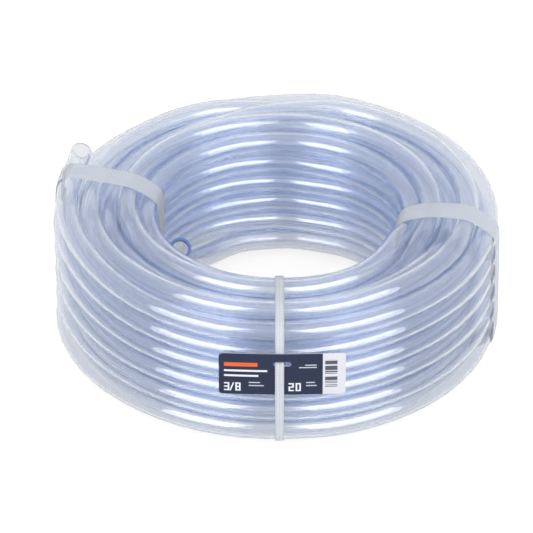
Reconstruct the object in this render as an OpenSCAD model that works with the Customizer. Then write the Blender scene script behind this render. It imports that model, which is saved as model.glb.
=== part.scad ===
// Coil of clear water level hose, held by three flat straps, with a printed tag threaded on the front strap.
// The origin is on the coil's axis, at the surface that the coil lies on. +Z is up the axis and -Y is the front.
// The hose runs clockwise, seen from above, from its inner end to its outer end.

/* [Hose] */
// Outside diameter of the hose
hose_od = 12.7; // [11:0.1:14]
// Wall thickness of the hose
hose_wall = 1.6; // [1:0.1:2.5]
// Straight length at the inner cut end
inner_end_l = 10; // [6:0.5:14]
// Straight length at the outer cut end
outer_end_l = 18; // [10:0.5:30]

/* [Coil] */
// Centre line radius of the innermost layer of turns
inner_turn_r = 74.2; // [70:0.1:110]
// Turns on the inner wall, and as many on the outer wall
wall_turns = 6; // [4:1:7]
// Clear height between one turn and the next in a layer
turn_gap = 0.6; // [0.5:0.05:1.5]
// Clear width between the flats of one layer and the next
layer_gap = 0.9; // [0.8:0.05:1.6]
// Clearance between the wound turns and the core of hidden turns
core_gap = 0.3; // [0.2:0.05:0.8]
// How far the inner cut end stands off the wall beside it
tail_lift = 3; // [2.5:0.1:6]
// How far the outer end rises above its row, and how far the outer wall bulges there
end_rise = 11.5; // [0:0.5:16]
end_bulge = 1.8; // [0:0.1:3]

/* [Straps] */
// Thickness of a strap
strap_t = 0.8; // [0.5:0.05:1.2]
// Clearance between a strap and what it runs past
strap_gap = 0.3; // [0.2:0.05:0.6]
// Width of the front strap
front_strap_w = 5.3; // [4:0.1:7]
// Place of the front strap, to the right of the middle
front_strap_x = 0; // [-6:0.1:6]
// Width of the left and right straps
side_strap_w = 15.5; // [8:0.5:18]

/* [Tag] */
// Width of the tag
tag_w = 72; // [40:1:90]
// Height of the tag
tag_h = 28; // [20:0.5:34]
// Thickness of the tag
tag_t = 0.6; // [0.4:0.05:1]
// Corner radius of the tag
tag_corner_r = 2; // [0.5:0.1:4]
// Height of the tag's middle above the surface
tag_mid_z = 57; // [40:0.5:58]
// How far the tag hangs to the right of the strap
tag_shift = 1.5; // [0:0.1:1.6]
// Width of the tag's slot
slot_w = 10.3; // [10:0.1:14]
// Height of the tag's slot
slot_h = 3; // [2.8:0.1:4]
// Drop from the tag's top edge to the middle of the slot
slot_drop = 7; // [5:0.1:8]

/* [Hidden] */

// A full turn, and the even steps that a loop is drawn in
full_turn = 360;
rings_per_turn = 24;
ring_step = full_turn / rings_per_turn;
tube_sides = 6;
side_step = full_turn / tube_sides;
// A chord between two rings lies this share of the radius from the axis at its middle
chord_share = cos(ring_step / 2);

// Angles about the axis, counted anticlockwise from +X: the straps, and where the turns of each tube start.
// So the inner turns step over at the front, behind the wall, and the outer turns at the back.
front_angle = -90;
left_angle = 170;
right_angle = -10;
inner_join_angle = -150;
outer_join_angle = 30;
// Share of each turn in which the hose steps over to the next row
cross_share = 1 / 3;
// Travel on each row of the outer wall over which it rises and bulges towards the outer end, and settles again
rise_travel = [130, 220, 360];

// The hose's six-sided section stands on a corner, with flats to the inside and the outside
hose_r = hose_od / 2;
flat_r = hose_r * cos(side_step / 2);
// The bore is what the wall leaves open
hose_id = hose_od - 2 * hose_wall;
bore_r = hose_id / 2;
turn_pitch = hose_od + turn_gap;
layer_step = 2 * flat_r + layer_gap;
// The lowest turns are cut flat where they lie on the surface
flat_cut_share = 1 / 10;
bottom_z = hose_r - hose_od * flat_cut_share;
wall_z = bottom_z + turn_pitch / 2;
wall_top_z = wall_z + (wall_turns - 1) * turn_pitch;
top_z = bottom_z + wall_turns * turn_pitch;
layer_r = [for (i = [0:4]) inner_turn_r + i * layer_step];
outer_turn_r = layer_r[4];

// Rows that the two wound tubes pass through, as radius and height of the centre line
inner_rows = concat(
    [for (k = [0:wall_turns - 1]) [layer_r[0], wall_z + k * turn_pitch]],
    [[layer_r[1], top_z], [layer_r[2], wall_top_z], [layer_r[3], top_z]]
);
outer_rows = concat(
    [[layer_r[1], bottom_z], [layer_r[2], wall_z], [layer_r[3], bottom_z]],
    [for (k = [0:wall_turns - 1]) [outer_turn_r, wall_z + k * turn_pitch]]
);

// The inner tail starts below the lip at the left, drops along the wall and moves out into the first row meanwhile.
// These are travels from the start of the first turn, in degrees.
tail_travel = 30;
drop_end_travel = 94;
tail_end_travel = 130;
// Share of the drop in which it levels out
drop_round_share = 0.69;
tail_end_r = inner_turn_r - layer_step - tail_lift;
tail_drop_turns = 2;
tail_z = wall_top_z - turn_pitch * tail_drop_turns;

// Travel from the start of the first row to where each tube leaves its last one, in degrees
inner_last_travel = (len(inner_rows) - 1) * full_turn + 225;
outer_last_travel = (len(outer_rows) - 1) * full_turn + 220;

// The core stands for the turns that the wound tubes hide, with a stub where each tube joins it
core_in_r = inner_turn_r + flat_r + core_gap;
core_out_r = outer_turn_r * chord_share - flat_r - core_gap;
core_bottom_z = wall_z + hose_r + core_gap;
core_top_z = wall_top_z - hose_r - core_gap;
stub_l = hose_r;
riser_w = hose_r;

// The front strap lies on the wall above the slot, and outside the tag below it
front_wall_r = outer_turn_r + flat_r + strap_gap;
// Extra width of outline, because some tubes slant behind a strap
slant_room = hose_r / 2;
tag_back_r = front_wall_r + strap_t + strap_gap;
weave_out = strap_t + tag_t + 2 * strap_gap;
weave_drop_share = 0.8;
weave_drop = weave_out * weave_drop_share;
weave_lower_share = 0.45;
tag_x = front_strap_x + tag_shift;
tag_top_z = tag_mid_z + tag_h / 2;
slot_z = tag_top_z - slot_drop;
weave_z = slot_z - strap_t * weave_lower_share;

// One overrun serves all cuts, and one reach is past everything
overrun = hose_r;
reach = outer_turn_r + hose_od + end_bulge;
curve_fn = 48;
bend_fn = 24;

// Colours
hose_colour = [0.70, 0.77, 0.88];
core_colour = [0.62, 0.70, 0.84];
strap_colour = [0.88, 0.90, 0.93];
tag_colour = [0.22, 0.26, 0.34];

// Blend from one value to another: straight, and eased at both ends
function mix(from, to, share) = from + (to - from) * share;
function ease(share) = (1 - cos(180 * min(1, max(0, share)))) / 2;

// Radius and height along a list of rows after a travel in degrees, stepping over at the end of each turn
function row_at(rows, travel) =
    let (turn = floor(travel / full_turn))
    let (step = max(0, (travel / full_turn - turn - 1 + cross_share) / cross_share))
    mix(rows[turn], rows[min(turn + 1, len(rows) - 1)], step);

// Radius and height along the inner tail: it moves out gently, and drops evenly until it levels out
function tail_radius(travel) =
    mix(tail_end_r, inner_turn_r, ease((travel - tail_travel) / (tail_end_travel - tail_travel)));
function rounded(share) =
    let (steep = 1 / (1 - drop_round_share / 2))
    share < 1 - drop_round_share
    ? steep * share
    : 1 - steep * pow(max(0, 1 - share), 2) / (2 * drop_round_share);
function tail_height(travel) =
    mix(tail_z, wall_z, rounded((travel - tail_travel) / (drop_end_travel - tail_travel)));

function inner_at(travel) =
    travel < tail_end_travel ? [tail_radius(travel), tail_height(travel)] : row_at(inner_rows, travel);
// The outer wall fans out towards the outer end, most in its top row
function fan(travel) =
    let (t = travel % full_turn)
    ease((t - rise_travel[0]) / (rise_travel[1] - rise_travel[0]))
    - ease((t - rise_travel[1]) / (rise_travel[2] - rise_travel[1]));
function wall_share(travel) =
    (floor(travel / full_turn) - len(outer_rows) + wall_turns) / (wall_turns - 1);
function outer_at(travel) =
    row_at(outer_rows, travel)
    + (wall_share(travel) < 0 ? [0, 0] : fan(travel) * [end_bulge, end_rise * wall_share(travel)]);

// A point in space from radius and height at an angle about the axis
function place(p, angle) = [p.x * cos(angle), p.x * sin(angle), p.y];

// Travel that goes with a chord one hose diameter long, so that a tube ends straight
function end_chord(r) = 2 * asin(hose_r / r);

inner_travels = concat(
    [tail_travel - end_chord(tail_end_r)],
    [for (t = [tail_travel:ring_step:inner_last_travel]) t]
);
inner_leave_r = layer_r[3] * chord_share;
inner_path = concat(
    [for (t = inner_travels) place(inner_at(t), inner_join_angle - t)],
    [place([inner_leave_r, top_z], inner_join_angle - inner_last_travel - end_chord(inner_leave_r))]
);

outer_travels = concat(
    [ring_step - end_chord(layer_r[1])],
    [for (t = [ring_step:ring_step:outer_last_travel - ring_step / 2]) t],
    [outer_last_travel]
);
outer_leave = place(outer_at(outer_last_travel), outer_join_angle - outer_last_travel);
outer_heading = outer_join_angle - outer_last_travel - 90;
outer_path = concat(
    [for (t = outer_travels) place(outer_at(max(0, t)), outer_join_angle - t)],
    [outer_leave + hose_od * [cos(outer_heading), sin(outer_heading), 0]]
);

// Six points round each point of a path, square to it
function unit(v) = v / norm(v);
function heading_at(path, i) =
    unit(path[min(i + 1, len(path) - 1)] - path[max(i - 1, 0)]);
function ring(path, i, r) =
    let (ahead = heading_at(path, i))
    let (out = unit([-ahead.y, ahead.x, 0]))
    let (up = cross(ahead, out))
    [
        for (j = [0:tube_sides - 1])
            let (a = side_step * (j + 1 / 2))
            path[i] + r * (cos(a) * out + sin(a) * up)
    ];

// One closed tube of triangles along a path
module swept_tube(path, r) {
    rings = [for (i = [0:len(path) - 1]) each ring(path, i, r)];
    last = (len(path) - 1) * tube_sides;
    walls = [
        for (i = [0:len(path) - 2], j = [0:tube_sides - 1])
            let (a = i * tube_sides + j)
            let (b = i * tube_sides + (j + 1) % tube_sides)
            each [[a, b + tube_sides, b], [a, a + tube_sides, b + tube_sides]]
    ];
    start_cap = [for (j = [1:tube_sides - 2]) [0, j, j + 1]];
    end_cap = [for (j = [1:tube_sides - 2]) [last, last + j + 1, last + j]];
    polyhedron(points = rings, faces = concat(walls, start_cap, end_cap));
}

// Least distance from the corners of each ring to the edges of the tube one or more turns on
function edge_distance(p, from, to) =
    let (edge = to - from)
    norm(p - from - edge * min(1, max(0, (p - from) * edge / (edge * edge))));
function least_gap(path) =
    let (rings = [for (i = [0:len(path) - 1]) ring(path, i, hose_r)])
    min([
        for (i = [1:len(path) - 2], k = [1:len(path) / rings_per_turn], next = [-1, 0])
            let (other = i + k * rings_per_turn + next)
            if (other < len(path) - 1)
                min([
                    for (p = rings[i], j = [0:tube_sides - 1])
                        edge_distance(p, rings[other][j], rings[other + 1][j])
                ])
    ]);
echo("least gap of the inner turns to themselves in mm", least_gap(inner_path));
echo("least gap of the outer turns to themselves in mm", least_gap(outer_path));
echo("outer end from", outer_path[len(outer_path) - 1], "heading in degrees", outer_heading);

// The outer end runs straight on from its row, so it draws away from the axis
function outer_or_end_at(travel) =
    let (p = outer_at(min(travel, outer_last_travel)))
    [p.x / cos(min(max(0, travel - outer_last_travel), ring_step / 2)), p.y];

// Radius and height of every tube, and of its stub, that crosses an angle about the axis. The tail isn't among them,
// because it lies loose inside the straps.
function travels_at(join, angle, last) = [
    for (k = [-2:last / full_turn + 2]) (join - angle) % full_turn + k * full_turn
];
function crossings(angle) = concat(
    [
        for (t = travels_at(inner_join_angle, angle, inner_last_travel))
            if (t >= tail_end_travel && t <= inner_last_travel + ring_step) inner_at(t)
    ],
    [
        for (t = travels_at(outer_join_angle, angle, outer_last_travel))
            if (t >= 0 && t <= outer_last_travel + ring_step) outer_or_end_at(t)
    ]
);

// Outline round all the tubes within a width, with the chords between the rings taken in
module bundle_outline(angle, w) {
    spread = asin(w / 2 / tail_end_r);
    hull() {
        for (turn = [-spread, 0, spread], p = crossings(angle + turn), share = [chord_share, 1]) {
            translate([p.x * share, p.y])
                rotate(side_step / 2)
                    circle(r = hose_r, $fn = tube_sides);
        }
    }
}

// Half plane above a height
module above(z) {
    translate([-reach, z])
        square([2 * reach, 2 * top_z + end_rise]);
}

// Closed band one strap thick round an outline, flat on the surface below
module band_round() {
    difference() {
        intersection() {
            offset(r = strap_gap + strap_t, $fn = bend_fn) children();
            above(0);
        }
        intersection() {
            offset(r = strap_gap, $fn = bend_fn) children();
            above(strap_t);
        }
    }
}

// Box along the radius at an angle, as wide as a strap
module strap_slab(angle, w, bottom, top) {
    rotate(angle)
        translate([0, -w / 2, bottom])
            cube([reach, w, top - bottom]);
}

// Room below the lowest turns for one strap, and the surface that the coil lies on
module strap_room(angle, w) {
    strap_slab(angle, w + 2 * strap_gap, -overrun, strap_t + strap_gap);
}
module surface_cut() {
    translate([-reach, -reach, -2 * overrun])
        cube([2 * reach, 2 * reach, 2 * overrun]);
}

module side_strap(angle) {
    intersection() {
        rotate_extrude($fn = curve_fn)
            intersection() {
                band_round() bundle_outline(angle, side_strap_w + slant_room);
                translate([0, -overrun])
                    square([2 * reach, 2 * reach]);
            }
        strap_slab(angle, side_strap_w, -overrun, top_z + 2 * hose_od + end_rise);
    }
}

// Straight stretch of hose with its bore, from a point along a heading and a rise in degrees
module cut_end(from, heading, rise, l) {
    translate(from)
        rotate(heading)
            rotate([0, 90 - rise, 0])
                difference() {
                    cylinder(h = l, r = hose_r, $fn = curve_fn);
                    translate([0, 0, -overrun])
                        cylinder(h = l + 2 * overrun, r = bore_r, $fn = curve_fn);
                }
}

// Stub of six-sided hose on a riser out of the core, from a point along a heading
module core_stub(from, heading, core_z) {
    low = from.z < core_z ? from.z : core_z - core_gap;
    high = from.z < core_z ? core_z + core_gap : from.z;
    translate([from.x, from.y, 0])
        rotate(heading) {
            translate([0, 0, from.z])
                rotate([0, 90, 0])
                    cylinder(h = stub_l, r = hose_r, $fn = tube_sides);
            translate([0, -riser_w / 2, low])
                cube([stub_l, riser_w, high - low]);
        }
}

// Heading in the plane, and rise out of it, from one point to another
function bearing(from, to) = atan2(to.y - from.y, to.x - from.x);
function rise(from, to) = asin(unit(to - from).z);

module hose_inner_end() {
    color(hose_colour)
        cut_end(
            inner_path[0],
            bearing(inner_path[1], inner_path[0]),
            rise(inner_path[1], inner_path[0]),
            inner_end_l
        );
}

module hose_inner_turns() {
    color(hose_colour)
        difference() {
            swept_tube(inner_path, hose_r);
            surface_cut();
        }
}

module hose_core_turns() {
    end = len(inner_path) - 1;
    color(core_colour)
        difference() {
            union() {
                rotate_extrude($fn = curve_fn)
                    translate([core_in_r, core_bottom_z])
                        square([core_out_r - core_in_r, core_top_z - core_bottom_z]);
                core_stub(inner_path[end], bearing(inner_path[end - 1], inner_path[end]), core_top_z);
                core_stub(outer_path[0], bearing(outer_path[1], outer_path[0]), core_bottom_z);
            }
            surface_cut();
        }
}

module hose_outer_turns() {
    color(hose_colour)
        difference() {
            swept_tube(outer_path, hose_r);
            surface_cut();
            translate([front_strap_x, 0, 0])
                strap_room(front_angle, front_strap_w);
            strap_room(left_angle, side_strap_w);
            strap_room(right_angle, side_strap_w);
        }
}

module hose_outer_end() {
    color(hose_colour)
        cut_end(outer_path[len(outer_path) - 1], outer_heading, 0, outer_end_l);
}

// The bundle with the step that the tag's lower half makes under the front strap
module front_outline() {
    bundle_outline(front_angle, front_strap_w + 2 * abs(front_strap_x) + slant_room);
    polygon([
        [outer_turn_r, weave_z + weave_drop / 2],
        [front_wall_r - strap_gap, weave_z + weave_drop / 2],
        [front_wall_r - strap_gap + weave_out, weave_z - weave_drop / 2],
        [front_wall_r - strap_gap + weave_out, tag_top_z - tag_h],
        [front_wall_r - strap_gap, wall_z],
        [outer_turn_r, wall_z]
    ]);
}

module front_strap() {
    color(strap_colour)
        translate([front_strap_x + front_strap_w / 2, 0, 0])
            rotate(front_angle)
                rotate([90, 0, 0])
                    linear_extrude(front_strap_w)
                        band_round() front_outline();
}

module left_strap() {
    color(strap_colour)
        side_strap(left_angle);
}

module right_strap() {
    color(strap_colour)
        side_strap(right_angle);
}

module tag() {
    color(tag_colour)
        translate([tag_x, -tag_back_r, tag_mid_z])
            rotate([90, 0, 0])
                linear_extrude(tag_t)
                    difference() {
                        offset(r = tag_corner_r, $fn = bend_fn)
                            square([tag_w - 2 * tag_corner_r, tag_h - 2 * tag_corner_r], center = true);
                        translate([0, tag_h / 2 - slot_drop]) {
                            square([slot_w - slot_h, slot_h], center = true);
                            for (side = [-1, 1]) {
                                translate([side * (slot_w - slot_h) / 2, 0])
                                    circle(d = slot_h, $fn = bend_fn);
                            }
                        }
                    }
}

hose_inner_end();
hose_inner_turns();
hose_core_turns();
hose_outer_turns();
hose_outer_end();
front_strap();
left_strap();
right_strap();
tag();
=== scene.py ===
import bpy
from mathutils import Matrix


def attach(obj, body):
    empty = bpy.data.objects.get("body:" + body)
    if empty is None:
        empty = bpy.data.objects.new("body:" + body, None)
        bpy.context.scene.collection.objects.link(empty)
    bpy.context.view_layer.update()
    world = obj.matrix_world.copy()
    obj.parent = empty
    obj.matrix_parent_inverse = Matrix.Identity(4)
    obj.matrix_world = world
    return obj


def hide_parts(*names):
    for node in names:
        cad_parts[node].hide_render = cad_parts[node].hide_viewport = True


bl_info = {
    "name": "Water Level Hose Coil",
    "version": (1, 0, 0),
    "blender": (4, 5, 0),
    "location": "3D View > Sidebar > Hose Coil",
    "description": "Winds a coil of clear hose with its straps and tag around the packed model",
    "category": "Object",
}

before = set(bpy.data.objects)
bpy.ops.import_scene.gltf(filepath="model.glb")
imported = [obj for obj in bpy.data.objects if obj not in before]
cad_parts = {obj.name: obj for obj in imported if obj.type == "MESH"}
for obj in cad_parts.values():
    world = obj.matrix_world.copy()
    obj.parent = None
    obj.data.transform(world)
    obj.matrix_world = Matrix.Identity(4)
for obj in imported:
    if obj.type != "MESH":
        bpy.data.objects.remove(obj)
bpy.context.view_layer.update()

import math

import bpy
import numpy as np
from bpy.props import FloatProperty, FloatVectorProperty, IntProperty, PointerProperty, StringProperty

# All sizes below are in metres and all angles in degrees about the coil's axis, anticlockwise from +X.
MM = 0.001
FULL_TURN = 360.0
# Samples of the hose in one turn, and points round its outside and its bore
PER_TURN = 60
HOSE_SIDES = 26
# Where the straps cross the coil, as in the CAD source
FRONT_ANGLE = -90.0
LEFT_ANGLE = 170.0
RIGHT_ANGLE = -10.0
# The hose runs clockwise. Travel is counted from here, and each turn steps over to the next row in its last third.
JOIN_ANGLE = -150.0
STEP_OVER = FULL_TURN / 3
# The inner two layers step over earlier than the others, at the front right
EARLY = 55.0
# Travel on each row of the outer wall over which it rises and bulges towards the outer end, and settles again
RISE_START, RISE_FULL, RISE_END = 130.0, 220.0, 360.0
OUTER_JOIN_ANGLE = 30.0
# Directions in degrees, and length along the outline, over which a strap's bends are softened
SOFT_BEND = 15.0
SOFT_RUN = 5.0 * MM
# What the softening takes off the outline at a bend
BITE = 0.3 * MM
# The tail at the inner end in degrees of travel: its start, where it is level, and where it joins the first row
TAIL_START, TAIL_LEVEL, TAIL_END = 30.0, 94.0, 130.0
# Share of the tail's drop in which it levels out, as in the CAD source
LEVEL_SHARE = 0.69
# Travel on the last row before the outer end leaves the coil, and over which it turns away
LAST_TRAVEL = 220.0
LEAVE_RUN = 60.0
# Steps along each straight end, and points of the centre line that belong to the inner end and the tail
END_STEPS = 6
TAIL_POINTS = END_STEPS + math.ceil((TAIL_END - TAIL_START) / FULL_TURN * PER_TURN)
# Middle of the stretch that lies on the front strap, and how far on each side of a strap's middle the floor is a
# strap higher and then falls back
FRONT_REST = FRONT_ANGLE + 1.3
STRAP_FLAT, STRAP_FADE = 5.0, 10.0
STRAP_LIFT = 0.95 * MM
# Seed and size of the coil's unevenness in radius and in height, from waves of these rates to a turn
UNEVEN_RADIUS, UNEVEN_HEIGHT = (3, 0.35 * MM), (5, 0.3 * MM)
WAVES, SLOWEST, FASTEST = 9, 2.5, 7.5
# The turns settle in this many rounds. Each takes a share of the way back to the plan, of an overlap between two turns
# and of a turn's way past the floor or the front strap, and then strides a little further.
ROUNDS, BACK, SHOVE, PRESS, STRIDE = 400, 0.01, 0.225, 0.5, 1.6
# Distance between settled turns in diameters, and a length that keeps a gap from being nothing
SPACING = 1.015
TINY = 1e-9
# Travel at which the turns start to be free to settle, how far before the outer end they stop, and the run-in to both
FREE_START, FREE_LAST, FREE_RUN = 70.0, 30.0, 60.0
# The front strap's hold: its slack, how far the wall may swell away from it, and the angles over which it does
HOLD_SLACK, HOLD_SWELL = 0.1 * MM, 2.5 * MM
HOLD_ANGLE, HOLD_RUN = 60.0, 80.0
# Directions in which a strap's outline is found, points on it, and how far beside a strap a turn still carries it
DIRECTIONS = 1440
SIDE_POINTS, FRONT_POINTS = 300, 1200
BESIDE = 4 * MM
# Steps across a plain strap's section and across each rib of a ribbed one, and the power that rounds its edges
PLAIN_STEPS, PER_RIB, EDGE_POWER = 8, 6, 12
# Share of the light that a strap lets through blurred, and share of what lies behind it that it hides
SIDE_CLOUDY, SIDE_COVER = 0.12, 0.62
FRONT_CLOUDY, FRONT_COVER = 0.1, 1.0
# Pitch of the ribs pressed across a strap
CROSS_PITCH = 2 * MM
# The front strap comes out through the tag's slot this far above the slot's middle and over this height, and is back on
# the wall at this height above the floor
WEAVE_ABOVE, WEAVE_RUN, WEAVE_FOOT = 0.45 * MM, 1.6 * MM, 12 * MM
# Rays from the tag's slot to its edge, how often each is halved to find it, points on each, and how much of its
# thickness its edges are softened by
CARD_RAYS, HALVINGS, CARD_STEPS, CARD_SOFT = 240, 48, 15, 0.12
# Plain rules on the tag: left, right, bottom and top in millimetres from its middle, and the setting for their colour
RULES = (
    (-33.0, -14.0, 5.2, 7.8, "accent_colour"),
    (-33.0, -8.5, 1.6, 2.9, "print_colour"),
    (-33.0, -13.5, -1.8, -0.5, "print_colour"),
    (13.0, 19.5, 5.9, 6.6, "fine_colour"),
    (9.5, 19.5, 4.3, 5.0, "fine_colour"),
    (-19.0, -12.5, -6.1, -5.4, "fine_colour"),
    (-19.0, -10.5, -8.2, -7.5, "fine_colour"),
    (13.5, 18.5, -6.1, -5.4, "fine_colour"),
    (13.5, 19.5, -8.2, -7.5, "fine_colour"),
)
# Bar marks on the tag's panel: the width of a module, the share of modules left bare, the ends of the bars from the
# panel's edge, and how far the marks reach up and down
BAR_MODULE, BAR_BARE = 0.5 * MM, 0.42
BAR_START, BAR_END, BAR_REACH = 1.3 * MM, 8.3 * MM, 9.6 * MM
# Block numerals: which upright strokes stay, left and right, beside each opening, and its lower and upper half
NUMERALS = {
    "0": ((1, 1, 0, 2),),
    "2": ((1, 0, 0, 1), (0, 1, 1, 2)),
    "3": ((0, 1, 0, 1), (0, 1, 1, 2)),
    "8": ((1, 1, 0, 1), (1, 1, 1, 2)),
}
# Where each numeral starts, their width, height, stroke and foot, and the slash's two sides and how far it leans
STARTS = (("3", -33.0 * MM), ("8", -26.6 * MM), ("2", 3.6 * MM), ("0", 7.6 * MM))
WIDE, HIGH, STROKE, FOOT = 3.0 * MM, 5.6 * MM, 0.9 * MM, -11.6 * MM
SLASH_LEFT, SLASH_RIGHT, SLASH_LEAN = -25.9 * MM, -25.1 * MM, 0.35
# The floor is a disc a little under the coil
FLOOR_RADIUS, FLOOR_POINTS, FLOOR_DROP = 3.0, 64, 0.2 * MM
# Softboxes left and right of the camera, as the gap between the columns of highlights shows: degrees to the right and
# up, width, height and watts, all at one distance
LAMPS = {
    "softbox_left": (-40.0, 32.0, 0.75, 1.1, 5.6),
    "softbox_right": (38.0, 32.0, 1.05, 1.1, 7.5),
}
LAMP_DISTANCE = 1.25
# Light passes through many walls of hose, and needs fewer bounces elsewhere
HOSE_BOUNCES, OTHER_BOUNCES = 128, 16
# The camera's sensor in millimetres, and the nearest and furthest that it shows
SENSOR, NEAREST, FURTHEST = 36.0, 0.01, 50.0


def smooth(u):
    """Cubic step: 0 below 0, 1 above 1, and 3u^2 - 2u^3 between."""
    u = np.clip(u, 0, 1)
    return u * u * (3 - 2 * u)


def ease(u):
    """Half a cosine wave from 0 to 1, as the CAD source eases."""
    return (1 - np.cos(np.pi * np.clip(u, 0, 1))) / 2


def linear(text):
    """An sRGB hex colour as linear RGBA."""
    part = np.array([int(text[i : i + 2], 16) for i in (1, 3, 5)]) / 255
    part = np.where(part <= 0.04045, part / 12.92, ((part + 0.055) / 1.055) ** 2.4)
    return (*part.tolist(), 1.0)


def tones(text, low, high):
    """Two tones of an sRGB hex colour, at a low and a high share of its light and no lighter than white."""
    part = np.array(linear(text)[:3])
    return [(*np.minimum(part * share, 1).tolist(), 1.0) for share in (low, high)]


def add_node(tree, kind, values=None, links=None, **settings):
    """Adds a node: settings are its own properties, values its constant sockets, and links the outputs that feed it."""
    node = tree.nodes.new(kind)
    for name, value in settings.items():
        setattr(node, name, value)
    for name, value in (values or {}).items():
        node.inputs[name].default_value = value
    for name, source in (links or {}).items():
        tree.links.new(source, node.inputs[name])
    return node


def new_material(name):
    """An empty node material and its node tree."""
    material = bpy.data.materials.new(name)
    material.use_nodes = True
    material.node_tree.nodes.clear()
    return material, material.node_tree


def seen_rays(tree):
    """The outputs of the light path, and one that is 1 for rays from the camera, through the hose and off a gloss."""
    path = add_node(tree, "ShaderNodeLightPath").outputs
    seen = path["Is Camera Ray"]
    for name in ("Is Transmission Ray", "Is Glossy Ray"):
        seen = add_node(tree, "ShaderNodeMath", links={0: seen, 1: path[name]}, operation="MAXIMUM").outputs[0]
    return path, seen


def new_piece(name, points, faces, material, uv=None):
    """A smooth mesh piece at the origin from arrays of points and of faces, with UVs per point if given."""
    mesh = bpy.data.meshes.new(name)
    mesh.from_pydata(points.tolist(), [], faces.tolist())
    mesh.polygons.foreach_set("use_smooth", np.ones(len(mesh.polygons), bool))
    if uv is not None:
        corner = np.zeros(len(mesh.loops), np.int32)
        mesh.loops.foreach_get("vertex_index", corner)
        layer = mesh.uv_layers.new(name="UVMap")
        layer.data.foreach_set("uv", uv[corner].astype(np.float32).ravel())
    mesh.materials.append(material)
    mesh.update()
    piece = bpy.data.objects.new(name, mesh)
    bpy.context.scene.collection.objects.link(piece)
    return piece


def grid_faces(rows, columns, wrap_rows=False):
    """Quads of a grid of points stored row by row: each row is a closed ring, and the last meets the first if asked."""
    r = np.arange(rows if wrap_rows else rows - 1)[:, None]
    c = np.arange(columns)[None, :]
    r2, c2 = (r + 1) % rows, (c + 1) % columns
    quads = np.stack([r * columns + c, r * columns + c2, r2 * columns + c2, r2 * columns + c], -1)
    return quads.reshape(-1, 4)


class HoseSettings(bpy.types.PropertyGroup):
    """Sizes of the hose and of the coil that it is wound into."""

    diameter: FloatProperty(name="Diameter", description="Outside diameter of the hose", default=0.0127, unit="LENGTH")
    wall: FloatProperty(name="Wall", description="Wall thickness of the hose", default=0.0016, unit="LENGTH")
    length: FloatProperty(name="Length", description="Length that the hose is sold by", default=20.0, unit="LENGTH")
    outer_radius: FloatProperty(
        name="Outer layer", description="Radius of the outer layer's centre line", default=0.12085, unit="LENGTH"
    )
    layer_step: FloatProperty(
        name="Layer step", description="Distance between layers, whose rows nest", default=0.01076, unit="LENGTH"
    )
    row_pitch: FloatProperty(
        name="Row pitch", description="Height from one row to the next", default=0.0134, unit="LENGTH"
    )
    rows: IntProperty(name="Rows", description="Rows on the inner and the outer wall", default=6, min=4, max=7)
    tail_radius: FloatProperty(
        name="Tail", description="Radius of the tail's start, inside the inner wall", default=0.0593, unit="LENGTH"
    )
    tail_height: FloatProperty(
        name="Tail height", description="Height at which the tail starts to drop", default=0.05163, unit="LENGTH"
    )
    inner_end: FloatProperty(
        name="Inner end", description="Straight length at the inner cut end", default=0.010, unit="LENGTH"
    )
    outer_end: FloatProperty(
        name="Outer end", description="Straight length at the outer cut end", default=0.018, unit="LENGTH"
    )
    end_radius: FloatProperty(
        name="Leaving radius", description="Radius at which the outer end leaves", default=0.123594, unit="LENGTH"
    )
    end_height: FloatProperty(
        name="Leaving height", description="Height at which the outer end leaves", default=0.08973, unit="LENGTH"
    )
    end_rise: FloatProperty(
        name="End rise", description="How far the outer end rises above its row", default=0.0115, unit="LENGTH"
    )
    end_bulge: FloatProperty(
        name="End bulge", description="How far the outer wall bulges at the outer end", default=0.004, unit="LENGTH"
    )
    tint: StringProperty(
        name="Tint", description="Colour that the clear PVC lets through as sRGB hex", default="#70a3de"
    )
    depth: FloatProperty(name="Depth", description="How strongly the PVC tints light, per metre of wall", default=54.0)
    cut_tint: StringProperty(name="Cut tint", description="Cut ends of the PVC as sRGB hex", default="#557cc0")


class StrapSettings(bpy.types.PropertyGroup):
    """Sizes and colours of the three straps."""

    thickness: FloatProperty(name="Thickness", description="Thickness of a strap", default=0.0008, unit="LENGTH")
    clearance: FloatProperty(
        name="Clearance", description="Room between a strap and the hose", default=0.0003, unit="LENGTH"
    )
    side_width: FloatProperty(
        name="Side width", description="Width of the left and right straps", default=0.0155, unit="LENGTH"
    )
    front_width: FloatProperty(
        name="Front width", description="Width of the front strap", default=0.0053, unit="LENGTH"
    )
    front_place: FloatProperty(
        name="Front place", description="Front strap to the right of the middle", default=0.0, unit="LENGTH"
    )
    rib_pitch: FloatProperty(
        name="Rib pitch", description="Spacing of the ribs along a side strap", default=0.0018, unit="LENGTH"
    )
    rib_depth: FloatProperty(
        name="Rib depth", description="Depth of the grooves between the ribs", default=0.00022, unit="LENGTH"
    )
    side_colour: StringProperty(name="Side colour", description="Side straps as sRGB hex", default="#e6eeff")
    front_colour: StringProperty(name="Front colour", description="Front strap as sRGB hex", default="#d2d7e0")


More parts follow.
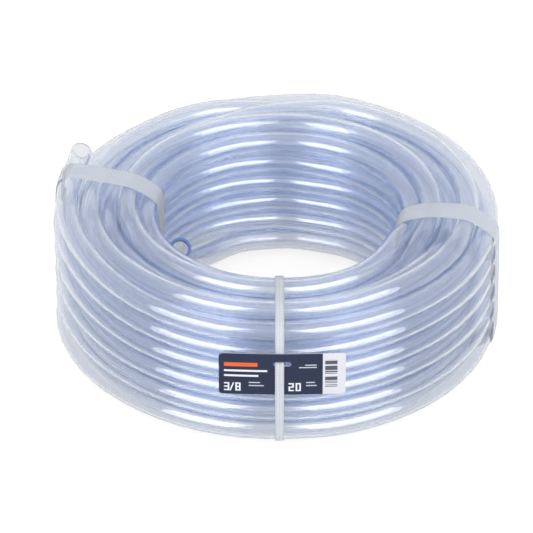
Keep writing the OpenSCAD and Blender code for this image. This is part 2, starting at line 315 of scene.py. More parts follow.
class TagSettings(bpy.types.PropertyGroup):
    """Sizes and colours of the tag."""

    width: FloatProperty(name="Width", description="Width of the tag", default=0.072, unit="LENGTH")
    height: FloatProperty(name="Height", description="Height of the tag", default=0.028, unit="LENGTH")
    thickness: FloatProperty(name="Thickness", description="Thickness of the tag", default=0.0006, unit="LENGTH")
    corner: FloatProperty(name="Corner", description="Corner radius of the tag", default=0.002, unit="LENGTH")
    middle: FloatVectorProperty(
        name="Middle", description="Middle of the tag's back", default=(0.0015, -0.128693, 0.057), subtype="TRANSLATION"
    )
    slot_width: FloatProperty(name="Slot width", description="Width of the slot", default=0.0103, unit="LENGTH")
    slot_height: FloatProperty(name="Slot height", description="Height of the slot", default=0.003, unit="LENGTH")
    slot_drop: FloatProperty(
        name="Slot drop", description="From the top edge to the slot's middle", default=0.007, unit="LENGTH"
    )
    bow: FloatProperty(
        name="Bow", description="How far the ends bend back towards the coil", default=0.0014, unit="LENGTH"
    )
    panel_width: FloatProperty(
        name="Panel width", description="Width of the white panel at the right", default=0.013, unit="LENGTH"
    )
    field_colour: StringProperty(name="Field", description="Dark field as sRGB hex", default="#1d2740")
    panel_colour: StringProperty(name="Panel", description="White panel as sRGB hex", default="#cdcdd5")
    accent_colour: StringProperty(name="Accent", description="Accent stripe as sRGB hex", default="#d8602e")
    print_colour: StringProperty(name="Print", description="Rules and numerals as sRGB hex", default="#d9dbe2")
    fine_colour: StringProperty(name="Fine print", description="Thin rules as sRGB hex", default="#b9bdc8")
    bar_colour: StringProperty(name="Bars", description="Bar marks as sRGB hex", default="#4d525e")


class StageSettings(bpy.types.PropertyGroup):
    """Camera, light and floor."""

    tilt: FloatProperty(
        name="Tilt", description="Camera above the horizon", default=math.radians(34.15), subtype="ANGLE"
    )
    distance: FloatProperty(
        name="Distance", description="Camera to the point that it looks at", default=3.444, unit="LENGTH"
    )
    aim: FloatVectorProperty(
        name="Aim", description="Point that the camera looks at", default=(-0.0074, 0.0, 0.0432), subtype="TRANSLATION"
    )
    field: FloatProperty(name="Field", description="Width of the frame at that point", default=0.31224, unit="LENGTH")
    floor_colour: StringProperty(name="Floor", description="Floor as sRGB hex", default="#f4f5f7")
    shade_colour: StringProperty(name="Shade", description="Depth of the floor's shadow", default="#a6a6a6")
    floor_white: FloatProperty(name="Floor white", description="White that the floor keeps in shadow", default=0.82)
    floor_through: FloatProperty(
        name="Floor through hose", description="White that the floor keeps when seen through the hose", default=0.57
    )
    world_light: FloatProperty(name="Surroundings", description="Light that the surroundings give", default=0.68)
    world_white: FloatProperty(name="Seen white", description="White of the surroundings where seen", default=0.95)


def off_angle(angle, place):
    """How far an angle lies from a place, the shorter way round."""
    return np.abs((angle - place + FULL_TURN / 2) % FULL_TURN - FULL_TURN / 2)


def strap_near(angle):
    """1 at a strap and 0 away from every strap, with a cubic step between."""
    off = off_angle(angle[:, None], np.array([FRONT_REST, LEFT_ANGLE, RIGHT_ANGLE])).min(1)
    return 1 - smooth((off - STRAP_FLAT) / STRAP_FADE)


def wobble(travel, seed, size):
    """Slow unevenness along the hose: sine waves of seeded rates and phases, summed, over the root of their number."""
    rng = np.random.default_rng(seed)
    rate, phase = rng.uniform(SLOWEST, FASTEST, WAVES), rng.uniform(0, 2 * np.pi, WAVES)
    return size * np.sin(np.outer(np.radians(travel), rate) + phase).sum(1) / math.sqrt(WAVES)


def wound_rows(hose):
    """Radius and height of every row in winding order, and the travel at which each one ends.
    Layers 1, 3 and 5 climb with an even number of rows, and layers 2 and 4 come down with one more, nested between.
    The first row is short and the first row of layer 3 is about half a turn, so that layers 1 and 2 step over at the
    front right and the others at the back."""
    low = hose.diameter / 2
    up = low + hose.row_pitch * (np.arange(hose.rows) + 0.5)
    down = low + hose.row_pitch * np.arange(hose.rows, -1, -1)
    heights = [up, down, up, down, up]
    radius = hose.outer_radius - hose.layer_step * np.arange(len(heights) - 1, -1, -1)
    rows = np.concatenate([np.stack([np.full(len(z), r), z], 1) for r, z in zip(radius, heights)])
    turns = np.full(len(rows), FULL_TURN)
    turns[0] -= EARLY
    turns[2 * hose.rows + 1] += EARLY - FULL_TURN / 2
    return rows, np.cumsum(turns)


def fan(angle):
    """How far the outer wall fans out at an angle: it eases from 0 to 1 towards the outer end and back to 0."""
    travel = (OUTER_JOIN_ANGLE - angle) % FULL_TURN
    out = ease((travel - RISE_START) / (RISE_FULL - RISE_START))
    return out - ease((travel - RISE_FULL) / (RISE_END - RISE_FULL))


def planned_route(hose):
    """Travel, and radius and height at it: each row is level, then steps over to the next by a cubic step. The first
    stretch is the tail, which drops evenly from the inner end, levels out and eases out into the first row."""
    rows, ends = wound_rows(hose)
    last = ends[-2] + LAST_TRAVEL
    step = FULL_TURN / PER_TURN
    travel = last - step * np.arange(int((last - TAIL_START) / step), -1, -1)
    row = np.searchsorted(ends, travel, side="right")
    over = smooth((travel - ends[row] + STEP_OVER) / STEP_OVER)[:, None]
    place = rows[row] * (1 - over) + rows[np.minimum(row + 1, len(rows) - 1)] * over
    # The outer wall fans out towards the outer end, most in its top row
    up_wall = (row - len(rows) + hose.rows) / (hose.rows - 1)
    fanned = np.where(up_wall < 0, 0, fan(JOIN_ANGLE - travel))
    place += np.stack([fanned * hose.end_bulge, fanned * up_wall * hose.end_rise], 1)
    tail = travel < TAIL_END
    t = travel[tail]
    share = (t - TAIL_START) / (TAIL_LEVEL - TAIL_START)
    steep = 1 / (1 - LEVEL_SHARE / 2)
    drop = np.where(
        share < 1 - LEVEL_SHARE, steep * share, 1 - steep * np.maximum(0, 1 - share) ** 2 / (2 * LEVEL_SHARE)
    )
    out = ease((t - TAIL_START) / (TAIL_END - TAIL_START))
    place[tail, 0] = hose.tail_radius + (rows[0, 0] - hose.tail_radius) * out
    place[tail, 1] = hose.tail_height + (rows[0, 1] - hose.tail_height) * drop
    # The last stretch moves over to where the outer end leaves
    leaving = smooth((travel - last + LEAVE_RUN) / LEAVE_RUN)[:, None]
    place += leaving * (np.array([hose.end_radius, hose.end_height]) - place)
    return travel, place


def settled_route(hose):
    """The planned route after the turns have found their places: all turns that pass one angle push each other apart
    to a hose's width, rest on the floor, which is a strap higher at the straps, stay inside the front strap, and are
    held loosely to the plan. Each round's push is smoothed along the hose, so it stays a smooth curve."""
    travel, plan = planned_route(hose)
    angle = JOIN_ANGLE - travel
    last = travel[-1]
    free = smooth((travel - FREE_START) / FREE_RUN) * smooth((last - FREE_LAST - travel) / FREE_RUN)
    uneven = np.stack([wobble(travel, *UNEVEN_RADIUS), wobble(travel, *UNEVEN_HEIGHT)], 1)
    plan = plan + free[:, None] * uneven
    floor = hose.diameter / 2 + STRAP_LIFT * strap_near(angle)
    swell = HOLD_SWELL * smooth((off_angle(angle, FRONT_ANGLE) - HOLD_ANGLE) / HOLD_RUN)
    fence = hose.outer_radius + HOLD_SLACK + swell + hose.end_bulge * fan(angle)
    apart = hose.diameter * SPACING
    place = plan.copy()
    for _ in range(ROUNDS):
        push = -BACK * (place - plan)
        for other in range(PER_TURN, len(place), PER_TURN):
            away = place[other:] - place[:-other]
            gap = np.hypot(away[:, 0], away[:, 1]) + TINY
            shove = SHOVE * (np.maximum(0, apart - gap) / gap)[:, None] * away
            push[:-other] -= shove
            push[other:] += shove
        push[:, 1] += PRESS * np.maximum(0, floor - place[:, 1])
        push[:, 0] -= PRESS * np.maximum(0, place[:, 0] - fence)
        push *= free[:, None]
        wide = np.pad(push, ((2, 2), (0, 0)), "edge")
        push = (wide[:-4] + 2 * wide[1:-3] + 3 * wide[2:-2] + 2 * wide[3:-1] + wide[4:]) / 9
        place = place + STRIDE * push
    turn = np.radians(angle)
    return np.stack([place[:, 0] * np.cos(turn), place[:, 0] * np.sin(turn), place[:, 1]], 1)


def hose_route(hose):
    """Centre line of the whole hose: a straight inner end, the settled coil and a straight outer end, level."""
    coil = settled_route(hose)
    radius = hose.tail_radius
    chord = 2 * math.asin(hose.diameter / 2 / radius)
    turn = math.radians(JOIN_ANGLE - TAIL_START) + chord
    drop = hose.row_pitch / 2 + hose.diameter / 2 - hose.tail_height
    slope = drop / (1 - LEVEL_SHARE / 2) / (TAIL_LEVEL - TAIL_START)
    # The inner end starts a hose's width before the tail, on the tail's own circle and slope
    corner = np.array(
        [radius * math.cos(turn), radius * math.sin(turn), hose.tail_height - slope * math.degrees(chord)]
    )
    out = (corner - coil[0]) / np.linalg.norm(corner - coil[0])
    inner_length = np.linalg.norm(corner - coil[0]) + hose.inner_end
    inner = coil[0] + out * np.linspace(inner_length, 0, END_STEPS + 1)[:-1, None]
    heading = math.atan2(coil[-1, 1], coil[-1, 0]) - math.pi / 2
    along = np.array([math.cos(heading), math.sin(heading), 0.0])
    outer = coil[-1] + along * np.linspace(0, hose.diameter + hose.outer_end, END_STEPS + 1)[1:, None]
    return np.concatenate([inner, coil, outer])


def run_along(path):
    """Length along a path at each of its points, from 0."""
    return np.concatenate([[0], np.cumsum(np.linalg.norm(np.diff(path, axis=0), axis=1))])


def rings_round(path, radius):
    """Rings of points square to a path: its heading, a level side vector and their cross product carry a circle."""
    ahead = np.gradient(path, axis=0)
    ahead /= np.linalg.norm(ahead, axis=1, keepdims=True)
    side = np.stack([-ahead[:, 1], ahead[:, 0], np.zeros(len(path))], 1)
    side /= np.linalg.norm(side, axis=1, keepdims=True)
    up = np.cross(ahead, side)
    a = 2 * np.pi * np.arange(HOSE_SIDES) / HOSE_SIDES
    return path[:, None] + radius * (np.cos(a)[:, None] * side[:, None] + np.sin(a)[:, None] * up[:, None])


def clear_pvc(hose):
    """Clear plasticised PVC, extruded: a glossy see-through wall that tints light a faint blue by the length of its way
    through it, so edges and cut ends are bluest, with fine die lines along the hose that break up the gloss."""
    material, tree = new_material("clear plasticised PVC, extruded")
    uv = add_node(tree, "ShaderNodeUVMap", uv_map="UVMap")
    # Die lines about 0.6 mm apart round the hose, drawn out along it
    stretched = add_node(tree, "ShaderNodeMapping", {"Scale": (70.0, 0.12, 1.0)}, {"Vector": uv.outputs["UV"]})
    lines = add_node(
        tree,
        "ShaderNodeTexNoise",
        {"Scale": 1.0, "Detail": 2.0, "Roughness": 0.5},
        {"Vector": stretched.outputs["Vector"]},
    )
    bump = add_node(tree, "ShaderNodeBump", {"Strength": 0.03, "Distance": 0.0002}, {"Height": lines.outputs["Fac"]})
    # The lines also hold back a trace of the light
    streak = add_node(tree, "ShaderNodeValToRGB", links={"Fac": lines.outputs["Fac"]})
    streak.color_ramp.elements[0].color = linear("#fafbfd")
    streak.color_ramp.elements[1].color = linear("#ffffff")
    streak.color_ramp.elements[0].position, streak.color_ramp.elements[1].position = 0.3, 0.7
    shader = add_node(
        tree,
        "ShaderNodeBsdfPrincipled",
        {
            "Roughness": 0.0,
            "Transmission Weight": 1.0,
            "IOR": 1.45,
            "Coat Weight": 1.0,
            "Coat Roughness": 0.04,
            "Coat IOR": 1.55,
        },
        {"Base Color": streak.outputs["Color"], "Coat Normal": bump.outputs["Normal"]},
    )
    inside = add_node(tree, "ShaderNodeVolumeAbsorption", {"Color": linear(hose.tint), "Density": hose.depth})
    add_node(
        tree,
        "ShaderNodeOutputMaterial",
        links={"Surface": shader.outputs["BSDF"], "Volume": inside.outputs["Volume"]},
    )
    return material


def cut_pvc(hose):
    """Clear plasticised PVC, knife cut: the wall seen along its length, so its tint adds up to a deep blue, with a
    satin face and faint marks of the blade."""
    material, tree = new_material("clear plasticised PVC, knife cut")
    place = add_node(tree, "ShaderNodeTexCoord")
    # Blade marks about 0.4 mm apart
    marks = add_node(tree, "ShaderNodeTexNoise", {"Scale": 2500.0, "Detail": 2.0}, {"Vector": place.outputs["Object"]})
    ramp = add_node(tree, "ShaderNodeValToRGB", links={"Fac": marks.outputs["Fac"]})
    ramp.color_ramp.elements[0].color, ramp.color_ramp.elements[1].color = tones(hose.cut_tint, 0.85, 1.2)
    bump = add_node(tree, "ShaderNodeBump", {"Strength": 0.2, "Distance": 0.0001}, {"Height": marks.outputs["Fac"]})
    shader = add_node(
        tree,
        "ShaderNodeBsdfPrincipled",
        {"Roughness": 0.35, "IOR": 1.53},
        {"Base Color": ramp.outputs["Color"], "Normal": bump.outputs["Normal"]},
    )
    add_node(tree, "ShaderNodeOutputMaterial", links={"Surface": shader.outputs["BSDF"]})
    return material


class HOSECOIL_OT_hose(bpy.types.Operator):
    """Wind the clear hose, with its bore and its two cut ends"""

    bl_idname = "hose_coil.hose"
    bl_label = "Wind Hose"

    def execute(self, context):
        hose = context.scene.hose_coil
        path = hose_route(hose)
        shells = [rings_round(path, hose.diameter / 2), rings_round(path, hose.diameter / 2 - hose.wall)]
        points = np.concatenate(shells).reshape(-1, 3)
        count = len(path) * HOSE_SIDES
        skin = grid_faces(len(path), HOSE_SIDES)
        ring = np.arange(HOSE_SIDES)
        after = (ring + 1) % HOSE_SIDES
        start = np.stack([ring, ring + count, after + count, after], 1)
        end = start[:, ::-1] + count - HOSE_SIDES
        faces = np.concatenate([skin, skin[:, ::-1] + count, start, end])
        around, along = np.meshgrid(ring / HOSE_SIDES, run_along(path) / (np.pi * hose.diameter))
        uv = np.tile(np.stack([around.ravel(), along.ravel()], 1), (2, 1))
        piece = new_piece("hose", points, faces, clear_pvc(hose), uv)
        piece.data.materials.append(cut_pvc(hose))
        at_cut = np.arange(len(faces)) >= 2 * len(skin)
        piece.data.polygons.foreach_set("material_index", at_cut.astype(np.int32))
        piece.data.polygons.foreach_set("use_smooth", ~at_cut)
        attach(piece, "coil")
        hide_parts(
            "hose_inner_end", "hose_inner_turns", "hose_core_turns", "hose_outer_turns", "hose_outer_end"
        )
        return {"FINISHED"}


def averaged(loop, reach):
    """Each point of a closed loop replaced by the mean of its neighbours up to a reach on both sides."""
    total = np.cumsum(np.concatenate([np.zeros((1, 2)), loop[-reach:], loop, loop[:reach]]), 0)
    span = 2 * reach + 1
    return (total[span:] - total[:-span]) / span


def bundle_outline(path, angle, shift, width, clear, lowest, count):
    """Closed outline of the turns under a strap, in its own plane of distance from the axis and height: in each
    direction, the turn that reaches furthest, plus the hose's radius and the clearance, averaged over the directions
    nearby and then along the outline, because a tight strap bows over the hollows and bites into soft hose at the
    bends. It stops at a lowest height, and its points are evenly spaced."""
    a = math.radians(angle)
    reach = path[:, 0] * math.cos(a) + path[:, 1] * math.sin(a)
    across = -path[:, 0] * math.sin(a) + path[:, 1] * math.cos(a) - shift
    near = (np.abs(across) < width / 2 + BESIDE) & (reach > 0)
    centres = np.stack([reach[near], path[near, 2]], 1)
    turn = 2 * np.pi * np.arange(DIRECTIONS) / DIRECTIONS
    facing = np.stack([np.cos(turn), np.sin(turn)], 1)
    outline = centres[(facing @ centres.T).argmax(1)] + clear * facing
    outline = averaged(outline, round(SOFT_BEND / FULL_TURN * DIRECTIONS))
    outline[:, 1] = np.maximum(outline[:, 1], lowest)
    ring = np.concatenate([outline, outline[:1]])
    run = run_along(ring)
    even = run[-1] * np.arange(count) / count
    outline = np.stack([np.interp(even, run, ring[:, i]) for i in range(2)], 1)
    return averaged(outline, round(SOFT_RUN / run[-1] * count))


def outward(outline):
    """Unit normals of a closed outline, pointing out of it."""
    ahead = np.roll(outline, -1, 0) - np.roll(outline, 1, 0)
    ahead /= np.linalg.norm(ahead, axis=1, keepdims=True)
    return np.stack([ahead[:, 1], -ahead[:, 0]], 1)


def carried_strap(outline, profile, angle, shift):
    """A profile of width and thickness carried round an outline at an angle about the axis: closed both ways."""
    normal = outward(outline)
    flat = outline[:, None] + normal[:, None] * profile[None, :, 1:]
    a = math.radians(angle)
    reach, across = flat[..., 0], profile[None, :, 0] + shift
    x = reach * math.cos(a) - across * math.sin(a)
    y = reach * math.sin(a) + across * math.cos(a)
    return np.stack([x, y, flat[..., 1]], -1)


def strap_profile(width, thickness, ribs=0, depth=0.0):
    """Closed outline of a strap's section: flat inside, ribbed outside by a cosine, and rounded at its two edges,
    where its height is the root of 1 less a high power of the place across it."""
    v = np.linspace(-0.5, 0.5, max(PLAIN_STEPS, ribs * PER_RIB) + 1)
    edge = np.sqrt(np.clip(1 - (np.abs(v) * 2) ** EDGE_POWER, 0, 1))
    wave = depth * (1 + np.cos(2 * np.pi * ribs * v)) / 2
    top = np.stack([v * width, (thickness - wave) * (0.5 + 0.5 * edge)], 1)
    bottom = np.stack([v * width, thickness * 0.5 * (1 - edge)], 1)
    return np.concatenate([top, bottom[-2:0:-1]])


def strapping(name, colour, cloudy, cover, rib_pitch):
    """Extruded polypropylene strapping, embossed: milky, cloudy to see through and covering part of what is behind it,
    with a waxy gloss, a fine grid pressed into it with painted shade in its grooves, and streaks along its length."""
    material, tree = new_material(name)
    uv = add_node(tree, "ShaderNodeUVMap", uv_map="UVMap")
    # Flow streaks about 0.4 mm wide and 25 mm long
    stretched = add_node(tree, "ShaderNodeMapping", {"Scale": (2500.0, 40.0, 1.0)}, {"Vector": uv.outputs["UV"]})
    streak = add_node(
        tree, "ShaderNodeTexNoise", {"Scale": 1.0, "Detail": 3.0}, {"Vector": stretched.outputs["Vector"]}
    )
    # The embossing, coarser than a real one to show: ribs that run along the strap, and ones half as high across it.
    # A wave texture of scale 1 repeats every tenth of pi.
    along, across = (
        add_node(
            tree,
            "ShaderNodeTexWave",
            {"Scale": math.pi / 10 / pitch, "Distortion": 0.0},
            {"Vector": uv.outputs["UV"]},
            bands_direction=direction,
        )
        for pitch, direction in ((rib_pitch, "X"), (CROSS_PITCH, "Y"))
    )
    grid = add_node(
        tree, "ShaderNodeMath", {1: 0.5}, {0: across.outputs["Fac"], 2: along.outputs["Fac"]}, operation="MULTIPLY_ADD"
    )
    relief = add_node(
        tree, "ShaderNodeMath", {1: 0.4}, {0: streak.outputs["Fac"], 2: grid.outputs[0]}, operation="MULTIPLY_ADD"
    )
    # The colour follows the relief: a painted shade darkens the grid's grooves, and the flow streaks add their own tone
    shade = add_node(tree, "ShaderNodeMapRange", {"From Min": 0.2, "From Max": 1.6}, {"Value": relief.outputs[0]})
    ramp = add_node(tree, "ShaderNodeValToRGB", links={"Fac": shade.outputs["Result"]})
    ramp.color_ramp.elements[0].color, ramp.color_ramp.elements[1].color = tones(colour, 0.84, 1.02)
    rough = add_node(tree, "ShaderNodeMapRange", {"To Min": 0.26, "To Max": 0.42}, {"Value": streak.outputs["Fac"]})
    bump = add_node(tree, "ShaderNodeBump", {"Strength": 0.3, "Distance": 0.0001}, {"Height": relief.outputs[0]})
    shader = add_node(
        tree,
        "ShaderNodeBsdfPrincipled",
        {
            "Transmission Weight": cloudy,
            "IOR": 1.49,
            "Alpha": cover,
            "Subsurface Weight": 1.0,
            "Subsurface Radius": (1.0, 1.0, 1.0),
            "Subsurface Scale": 2.0 * MM,
        },
        {
            "Base Color": ramp.outputs["Color"],
            "Roughness": rough.outputs["Result"],
            "Normal": bump.outputs["Normal"],
        },
    )
    add_node(tree, "ShaderNodeOutputMaterial", links={"Surface": shader.outputs["BSDF"]})
    return material


def make_strap(name, outline, profile, angle, shift, material):
    """One strap piece that rides on the coil and stands for its CAD solid, with UVs in metres across and along."""
    points = carried_strap(outline, profile, angle, shift)
    uv = np.stack(np.broadcast_arrays(profile[None, :, 0], run_along(outline)[:, None]), -1).reshape(-1, 2)
    faces = grid_faces(*points.shape[:2], wrap_rows=True)
    piece = new_piece(name + "_band", points.reshape(-1, 3), faces, material, uv)
    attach(piece, "coil")
    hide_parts(name)


class HOSECOIL_OT_straps(bpy.types.Operator):
    """Put the three straps round the coil, the front one woven through the tag's slot"""

    bl_idname = "hose_coil.straps"
    bl_label = "Fit Straps"

    def execute(self, context):
        hose, strap, tag = context.scene.hose_coil, context.scene.hose_straps, context.scene.hose_tag
        # The straps hold the coil, and the tail lies loose inside it
        path = hose_route(hose)[TAIL_POINTS:]
        clear = hose.diameter / 2 + strap.clearance + BITE
        ribs = round(strap.side_width / strap.rib_pitch)
        pitch = strap.side_width / ribs
        ribbed = strap_profile(strap.side_width, strap.thickness, ribs, strap.rib_depth)
        cloudy = strapping("polypropylene strapping, ribbed", strap.side_colour, SIDE_CLOUDY, SIDE_COVER, pitch)
        for name, angle in (("left_strap", LEFT_ANGLE), ("right_strap", RIGHT_ANGLE)):
            outline = bundle_outline(path, angle, 0.0, strap.side_width, clear, strap.thickness, SIDE_POINTS)
            make_strap(name, outline, ribbed, angle, 0.0, cloudy)
        # In the front strap's own plane, across counts towards +X
        outline = bundle_outline(
            path, FRONT_ANGLE, strap.front_place, strap.front_width, clear, strap.thickness, FRONT_POINTS
        )
        slot = tag.middle[2] + tag.height / 2 - tag.slot_drop
        out = strap.thickness + tag.thickness + 2 * strap.clearance
        z = outline[:, 1]
        above = smooth((slot + WEAVE_ABOVE - z) / WEAVE_RUN)
        below = smooth((z - WEAVE_FOOT) / (tag.middle[2] - tag.height / 2 - WEAVE_FOOT))
        step = np.where(outline[:, 0] > hose.outer_radius, out * above * below, 0.0)
        outline = outline + step[:, None] * np.array([1.0, 0.0])
        plain = strap_profile(strap.front_width, strap.thickness)
        milky = strapping("polypropylene strapping, milky", strap.front_colour, FRONT_CLOUDY, FRONT_COVER, pitch)
        make_strap("front_strap", outline, plain, FRONT_ANGLE, strap.front_place, milky)
        return {"FINISHED"}


def rounded_reach(direction, half_width, half_height, corner, centre):
    """Distance from a centre, along unit directions, to a rectangle with rounded corners: found by halving,
    because a point is inside where its distance to the inner rectangle is under the corner's radius."""
    low, high = np.zeros(len(direction)), np.full(len(direction), 2 * (half_width + half_height))
    for _ in range(HALVINGS):
        mid = (low + high) / 2
        at = np.abs(centre + direction * mid[:, None])
        past = np.maximum(at - np.array([half_width - corner, half_height - corner]), 0)
        inside = np.hypot(past[:, 0], past[:, 1]) <= corner
        low, high = np.where(inside, mid, low), np.where(inside, high, mid)
    return low


def printed_card(tag):
    """Printed plastic card: a dark field, a white panel with bar marks, plain rules and numerals, and a satin film over
    the print."""
    material, tree = new_material("printed PVC card, satin film")
    place = add_node(tree, "ShaderNodeTexCoord")
    local = add_node(tree, "ShaderNodeVectorMath", {1: tag.middle}, {0: place.outputs["Object"]}, operation="SUBTRACT")
    axis = add_node(tree, "ShaderNodeSeparateXYZ", links={"Vector": local.outputs["Vector"]})
    x, z = axis.outputs["X"], axis.outputs["Z"]

    def within(value, low, high):
        """1 where a coordinate lies between two places in metres."""
        off = add_node(tree, "ShaderNodeMath", {1: (low + high) / 2}, {0: value}, operation="SUBTRACT")
        size = add_node(tree, "ShaderNodeMath", links={0: off.outputs[0]}, operation="ABSOLUTE")
        return add_node(
            tree, "ShaderNodeMath", {1: (high - low) / 2}, {0: size.outputs[0]}, operation="LESS_THAN"
        ).outputs[0]

    def box(x0, x1, z0, z1):
        """1 inside a rectangle of the card, in metres from its middle."""
        return add_node(
            tree, "ShaderNodeMath", links={0: within(x, x0, x1), 1: within(z, z0, z1)}, operation="MULTIPLY"
        ).outputs[0]

    def painted(under, mask, colour):
        """A colour laid over another where a mask is 1."""
        mix = add_node(tree, "ShaderNodeMix", data_type="RGBA")
        tree.links.new(mask, mix.inputs[0])
        tree.links.new(under, mix.inputs[6])
        mix.inputs[7].default_value = linear(colour)
        return mix.outputs[2]

    # Ink mottle about 0.3 mm across, so that the dark field isn't one flat colour
    mottle = add_node(tree, "ShaderNodeTexNoise", {"Scale": 3000.0, "Detail": 2.0}, {"Vector": place.outputs["Object"]})
    ink = add_node(tree, "ShaderNodeValToRGB", links={"Fac": mottle.outputs["Fac"]})
    ink.color_ramp.elements[0].color, ink.color_ramp.elements[1].color = tones(tag.field_colour, 0.85, 1.2)
    edge = tag.width / 2 - tag.panel_width
    colour = painted(ink.outputs["Color"], box(edge, tag.width, -tag.height, tag.height), tag.panel_colour)
    # Bar marks of uneven width, whole modules by chance, stacked up the panel
    module = add_node(tree, "ShaderNodeMath", {1: 1 / BAR_MODULE}, {0: z}, operation="MULTIPLY")
    whole = add_node(tree, "ShaderNodeMath", links={0: module.outputs[0]}, operation="FLOOR")
    chance = add_node(tree, "ShaderNodeTexWhiteNoise", links={"W": whole.outputs[0]}, noise_dimensions="1D")
    bar = add_node(tree, "ShaderNodeMath", {1: BAR_BARE}, {0: chance.outputs["Value"]}, operation="GREATER_THAN")
    marks = add_node(
        tree,
        "ShaderNodeMath",
        links={0: bar.outputs[0], 1: box(edge + BAR_START, edge + BAR_END, -BAR_REACH, BAR_REACH)},
        operation="MULTIPLY",
    )
    colour = painted(colour, marks.outputs[0], tag.bar_colour)
    for x0, x1, z0, z1, shade in RULES:
        colour = painted(colour, box(x0 * MM, x1 * MM, z0 * MM, z1 * MM), getattr(tag, shade))
    # Plain numerals for the bore in eighths of an inch and the length in metres: a block, and its openings over it
    half = (HIGH - STROKE) / 2
    for numeral, start in STARTS:
        colour = painted(colour, box(start, start + WIDE, FOOT, FOOT + HIGH), tag.print_colour)
        for left, right, low, top in NUMERALS[numeral]:
            opening = box(
                start + (left or -1) * STROKE,
                start + WIDE - (right or -1) * STROKE,
                FOOT + low * half + STROKE,
                FOOT + top * half,
            )
            colour = painted(colour, opening, tag.field_colour)
    lean = add_node(tree, "ShaderNodeMath", {1: -SLASH_LEAN}, {0: z, 2: x}, operation="MULTIPLY_ADD").outputs[0]
    across, up = within(lean, SLASH_LEFT, SLASH_RIGHT), within(z, FOOT, FOOT + HIGH)
    slash = add_node(tree, "ShaderNodeMath", links={0: across, 1: up}, operation="MULTIPLY")
    colour = painted(colour, slash.outputs[0], tag.print_colour)
    rough = add_node(tree, "ShaderNodeMapRange", {"To Min": 0.3, "To Max": 0.45}, {"Value": mottle.outputs["Fac"]})
    bump = add_node(tree, "ShaderNodeBump", {"Strength": 0.05, "Distance": 0.0001}, {"Height": mottle.outputs["Fac"]})
    shader = add_node(
        tree,
        "ShaderNodeBsdfPrincipled",
        {"IOR": 1.5, "Specular IOR Level": 0.3},
        {"Base Color": colour, "Roughness": rough.outputs["Result"], "Normal": bump.outputs["Normal"]},
    )
    add_node(tree, "ShaderNodeOutputMaterial", links={"Surface": shader.outputs["BSDF"]})
    return material


def bare_card(tag):
    """Calendered PVC card without print: the pale, faintly grained stock that shows at the edges and the back."""
    material, tree = new_material("PVC card, unprinted")
    place = add_node(tree, "ShaderNodeTexCoord")
    # Grain about 0.4 mm across
    grain = add_node(tree, "ShaderNodeTexNoise", {"Scale": 2500.0, "Detail": 2.0}, {"Vector": place.outputs["Object"]})
    ramp = add_node(tree, "ShaderNodeValToRGB", links={"Fac": grain.outputs["Fac"]})
    ramp.color_ramp.elements[0].color, ramp.color_ramp.elements[1].color = tones(tag.panel_colour, 0.94, 1.06)
    bump = add_node(tree, "ShaderNodeBump", {"Strength": 0.1, "Distance": 0.0001}, {"Height": grain.outputs["Fac"]})
    shader = add_node(
        tree,
        "ShaderNodeBsdfPrincipled",
        {"IOR": 1.5, "Roughness": 0.5},
        {"Base Color": ramp.outputs["Color"], "Normal": bump.outputs["Normal"]},
    )
    add_node(tree, "ShaderNodeOutputMaterial", links={"Surface": shader.outputs["BSDF"]})
    return material


class HOSECOIL_OT_tag(bpy.types.Operator):
    """Hang the printed tag on the front strap"""

    bl_idname = "hose_coil.tag"
    bl_label = "Hang Tag"

    def execute(self, context):
        tag = context.scene.hose_tag
        slot = np.array([0.0, tag.height / 2 - tag.slot_drop])
        a = 2 * np.pi * np.arange(CARD_RAYS) / CARD_RAYS
        ray = np.stack([np.cos(a), np.sin(a)], 1)
        inner = rounded_reach(ray, tag.slot_width / 2, tag.slot_height / 2, tag.slot_height / 2, np.zeros(2))
        outer = rounded_reach(ray, tag.width / 2, tag.height / 2, tag.corner, slot)
        share = np.linspace(0, 1, CARD_STEPS)
        reach = inner[:, None] + (outer - inner)[:, None] * share
        flat = slot + ray[:, None] * reach[..., None]
        # Front and back follow one shallow parabola, and the edges between them are a softened step
        bow = tag.bow * (flat[..., 0] / (tag.width / 2)) ** 2
        soft = CARD_SOFT * tag.thickness * np.isin(share, (0, 1))
        front = np.stack([flat[..., 0], bow - tag.thickness + soft, flat[..., 1]], -1)
        back = np.stack([flat[..., 0], bow - soft, flat[..., 1]], -1)
        points = np.concatenate([front, back[:, ::-1]], 1) + np.array(tag.middle)
        faces = grid_faces(*points.shape[:2], wrap_rows=True)
        piece = new_piece("tag_card", points.reshape(-1, 3), faces, printed_card(tag))
        piece.data.polygons.foreach_set("use_smooth", np.zeros(len(faces), bool))
        piece.data.materials.append(bare_card(tag))
        bare = np.arange(len(faces)) % points.shape[1] >= len(share) - 1
        piece.data.polygons.foreach_set("material_index", bare.astype(np.int32))
        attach(piece, "tag")
        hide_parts("tag")
        return {"FINISHED"}


def white_surroundings(stage):
    """A world that is white where it is seen, also through the hose and in its gloss, and lights a little less."""
    world = bpy.data.worlds.new("white surroundings")
    world.use_nodes = True
    tree = world.node_tree
    tree.nodes.clear()
    _, seen = seen_rays(tree)
    strength = add_node(
        tree, "ShaderNodeMapRange", {"To Min": stage.world_light, "To Max": stage.world_white}, {"Value": seen}
    )
    background = add_node(
        tree, "ShaderNodeBackground", {"Color": (1, 1, 1, 1)}, {"Strength": strength.outputs["Result"]}
    )
    add_node(tree, "ShaderNodeOutputWorld", links={"Surface": background.outputs["Background"]})
    return world


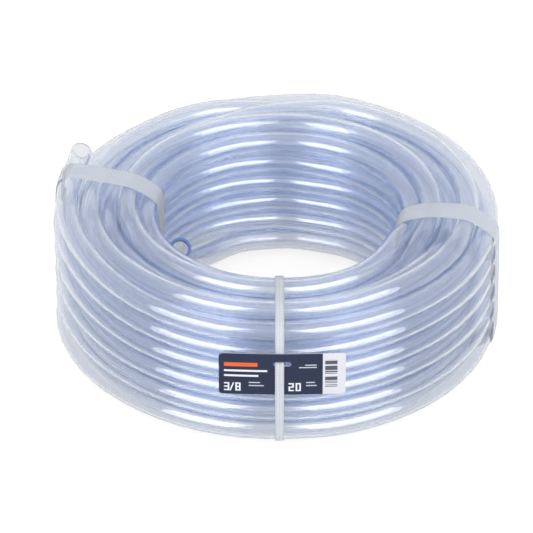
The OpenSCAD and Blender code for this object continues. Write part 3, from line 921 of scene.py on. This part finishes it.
def seamless_paper(stage):
    """White seamless paper, matt: where it is seen, it is mostly its own white, with a light shadow, and no brighter
    than white through the hose. Its light on the object is that of plain paper."""
    material, tree = new_material("white seamless paper")
    path, seen = seen_rays(tree)
    matt = add_node(tree, "ShaderNodeBsdfDiffuse", {"Color": linear(stage.floor_colour)})
    dim = add_node(tree, "ShaderNodeBsdfDiffuse", {"Color": linear(stage.shade_colour)})
    white = add_node(
        tree,
        "ShaderNodeMapRange",
        {"To Min": stage.floor_through, "To Max": stage.floor_white},
        {"Value": path["Is Camera Ray"]},
    )
    glow = add_node(tree, "ShaderNodeEmission", {"Color": (1, 1, 1, 1)}, {"Strength": white.outputs["Result"]})
    paper = add_node(tree, "ShaderNodeAddShader", links={0: dim.outputs[0], 1: glow.outputs[0]})
    both = add_node(tree, "ShaderNodeMixShader", links={0: seen, 1: matt.outputs[0], 2: paper.outputs[0]})
    add_node(tree, "ShaderNodeOutputMaterial", links={"Surface": both.outputs[0]})
    return material


class HOSECOIL_OT_stage(bpy.types.Operator):
    """Set the camera, the two softboxes, the white surroundings and the floor"""

    bl_idname = "hose_coil.stage"
    bl_label = "Set Stage"

    def execute(self, context):
        scene, stage = context.scene, context.scene.hose_stage
        scene.view_settings.view_transform = "Standard"
        scene.cycles.max_bounces = HOSE_BOUNCES
        scene.cycles.transmission_bounces = HOSE_BOUNCES
        scene.cycles.glossy_bounces = OTHER_BOUNCES
        scene.cycles.transparent_max_bounces = OTHER_BOUNCES
        camera = bpy.data.cameras.new("camera")
        camera.sensor_width = SENSOR
        camera.lens = camera.sensor_width * stage.distance / stage.field
        camera.clip_start, camera.clip_end = NEAREST, FURTHEST
        view = bpy.data.objects.new("camera", camera)
        back = np.array([0.0, -math.cos(stage.tilt), math.sin(stage.tilt)])
        view.location = np.array(stage.aim) + back * stage.distance
        view.rotation_euler = (math.pi / 2 - stage.tilt, 0.0, 0.0)
        scene.collection.objects.link(view)
        scene.camera = view

        for name, (azimuth, rise, width, height, power) in LAMPS.items():
            lamp = bpy.data.lights.new(name, "AREA")
            lamp.shape, lamp.size, lamp.size_y, lamp.energy = "RECTANGLE", width, height, power
            box = bpy.data.objects.new(name, lamp)
            a, e = math.radians(azimuth), math.radians(rise)
            towards = np.array([math.sin(a) * math.cos(e), -math.cos(a) * math.cos(e), math.sin(e)])
            box.location = LAMP_DISTANCE * towards
            box.rotation_euler = (math.pi / 2 - e, 0.0, a)
            scene.collection.objects.link(box)

        scene.world = white_surroundings(stage)
        spoke = np.arange(FLOOR_POINTS)
        a = 2 * np.pi * spoke / FLOOR_POINTS
        rim = FLOOR_RADIUS * np.stack([np.cos(a), np.sin(a), np.zeros(FLOOR_POINTS)], 1)
        points = np.concatenate([rim, np.zeros((1, 3))]) - np.array([0.0, 0.0, FLOOR_DROP])
        faces = np.stack([spoke, (spoke + 1) % FLOOR_POINTS, np.full(FLOOR_POINTS, FLOOR_POINTS)], 1)
        new_piece("floor", points, faces, seamless_paper(stage))
        return {"FINISHED"}


class HOSECOIL_PT_panel(bpy.types.Panel):
    """Settings and steps of the hose coil"""

    bl_idname = "HOSECOIL_PT_panel"
    bl_label = "Hose Coil"
    bl_space_type = "VIEW_3D"
    bl_region_type = "UI"
    bl_category = "Hose Coil"

    def draw(self, context):
        for owner in GROUPS:
            group = getattr(context.scene, owner)
            column = self.layout.box().column()
            for name in group.bl_rna.properties.keys():
                if name not in ("rna_type", "name"):
                    column.prop(group, name)
        for step in STEPS:
            self.layout.operator(step.bl_idname)


GROUPS = {
    "hose_coil": HoseSettings,
    "hose_straps": StrapSettings,
    "hose_tag": TagSettings,
    "hose_stage": StageSettings,
}
STEPS = (HOSECOIL_OT_stage, HOSECOIL_OT_hose, HOSECOIL_OT_straps, HOSECOIL_OT_tag)


def register():
    for item in (*GROUPS.values(), *STEPS, HOSECOIL_PT_panel):
        bpy.utils.register_class(item)
    for name, group in GROUPS.items():
        setattr(bpy.types.Scene, name, PointerProperty(type=group))


def unregister():
    for name in GROUPS:
        delattr(bpy.types.Scene, name)
    for item in (HOSECOIL_PT_panel, *reversed(STEPS), *reversed(GROUPS.values())):
        bpy.utils.unregister_class(item)


def main():
    register()
    bpy.ops.hose_coil.stage()
    bpy.ops.hose_coil.hose()
    bpy.ops.hose_coil.straps()
    bpy.ops.hose_coil.tag()


if __name__ == "__main__":
    main()
